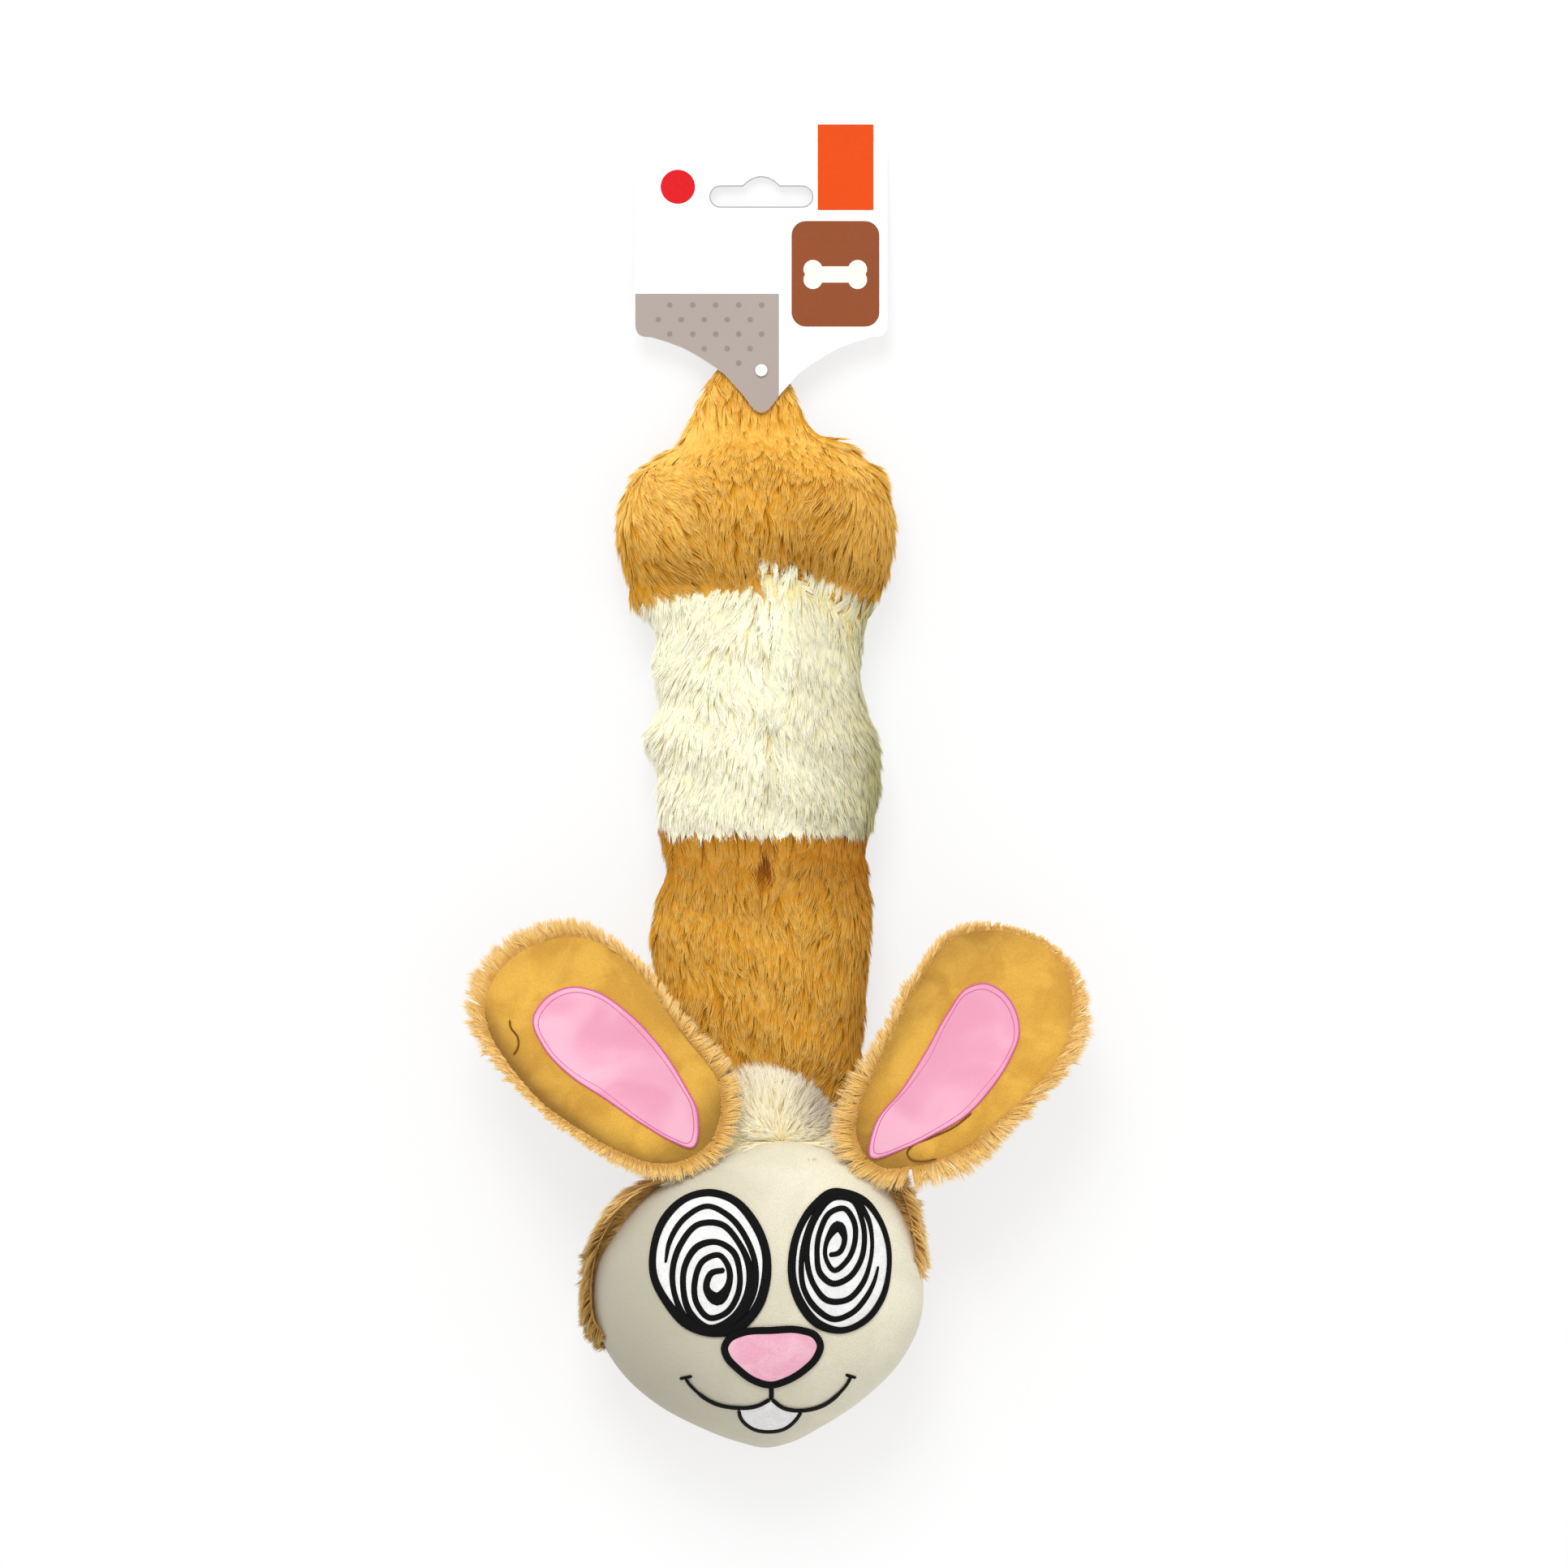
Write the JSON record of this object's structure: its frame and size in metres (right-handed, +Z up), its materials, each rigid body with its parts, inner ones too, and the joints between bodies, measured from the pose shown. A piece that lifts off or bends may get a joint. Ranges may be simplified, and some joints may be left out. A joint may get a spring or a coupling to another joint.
{
  "type": "plush dog toy",
  "caption": "Long stuffed rabbit in sewn plush bands with bending body and neck, flapping ears, a squeaker in the head and a hanging card pinned to its tail.",
  "frame": {"origin": "middle of the bounding box's bottom, on the floor that the toy lies on", "axes": "+Y from the chin towards the tail and the card, +X towards the toy's right ear as seen from above with the card at the top, +Z up, out of the face"},
  "size_m": [0.2012, 0.4154, 0.063],
  "materials": {
    "tan_plush": "matte",
    "cream_plush": "matte",
    "cream_velour": "matte",
    "tan_velour": "matte",
    "pink_satin": "satin",
    "white_cloth": "matte",
    "black_thread": "matte",
    "wadding": "matte",
    "squeaker_plastic": "satin",
    "reed_plastic": "gloss",
    "pin_nylon": "gloss",
    "card": "satin"
  },
  "bodies": {
    "middle": {"middle_skin_left": "cream_plush", "middle_skin_right": "cream_plush", "middle_stuffing": "wadding"},
    "front": {"front_skin_left": "tan_plush", "front_skin_right": "tan_plush", "front_stuffing": "wadding"},
    "rear": {"rear_skin_left": "tan_plush", "rear_skin_right": "tan_plush", "rear_stuffing": "wadding", "tag_pin": "pin_nylon"},
    "head": {"face_panel": "cream_velour", "head_back_left": "tan_plush", "head_back_right": "tan_plush", "head_stuffing_front": "wadding", "head_stuffing_back": "wadding", "forehead_tuft": "cream_plush", "eye_left": "white_cloth", "eye_right": "white_cloth", "nose": "pink_satin", "mouth": "black_thread", "teeth": "white_cloth", "squeaker_bulb": "squeaker_plastic"},
    "ear_left": {"ear_left_back": "tan_plush", "ear_left_front": "tan_velour", "ear_left_inner": "pink_satin"},
    "ear_right": {"ear_right_back": "tan_plush", "ear_right_front": "tan_velour", "ear_right_inner": "pink_satin"},
    "squeaker_reed_plug": {"squeaker_plug": "squeaker_plastic", "squeaker_reed": "reed_plastic"},
    "card": {"header_card": "card"}
  },
  "joints": [
    {"name": "front_bend", "type": "hinge", "parent": "middle", "child": "front", "pos_m": [-0.00677, -0.01801, 0.018], "axis": [1, 0, 0], "range_deg": [-35, 35]},
    {"name": "rear_bend", "type": "hinge", "parent": "middle", "child": "rear", "pos_m": [-0.00677, 0.06479, 0.018], "axis": [1, 0, 0], "range_deg": [-35, 35]},
    {"name": "neck_nod", "type": "hinge", "parent": "front", "child": "head", "pos_m": [-0.00677, -0.10371, 0.018], "axis": [1, 0, 0], "range_deg": [-8, 35]},
    {"name": "ear_left_flap", "type": "hinge", "parent": "head", "child": "ear_left", "pos_m": [-0.02677, -0.11171, 0.0455], "axis": [0.6947, 0.7193, 0], "range_deg": [-5, 60], "stiffness_Nm_per_rad": 0.08},
    {"name": "ear_right_flap", "type": "hinge", "parent": "head", "child": "ear_right", "pos_m": [0.03123, -0.11771, 0.0455], "axis": [0.766, -0.6428, 0], "range_deg": [-5, 60], "stiffness_Nm_per_rad": 0.08},
    {"name": "squeaker_press", "type": "slide", "parent": "head", "child": "squeaker_reed_plug", "axis": [0, 0, -1], "range_m": [0, 0.008], "stiffness_N_per_m": 800, "deforming": ["squeaker_bulb"]},
    {"name": "card_swivel", "type": "hinge", "parent": "rear", "child": "card", "pos_m": [-0.00677, 0.13019, 0.01126], "axis": [0, 0.1396, 0.9902], "range_deg": [-40, 40]}
  ]
}
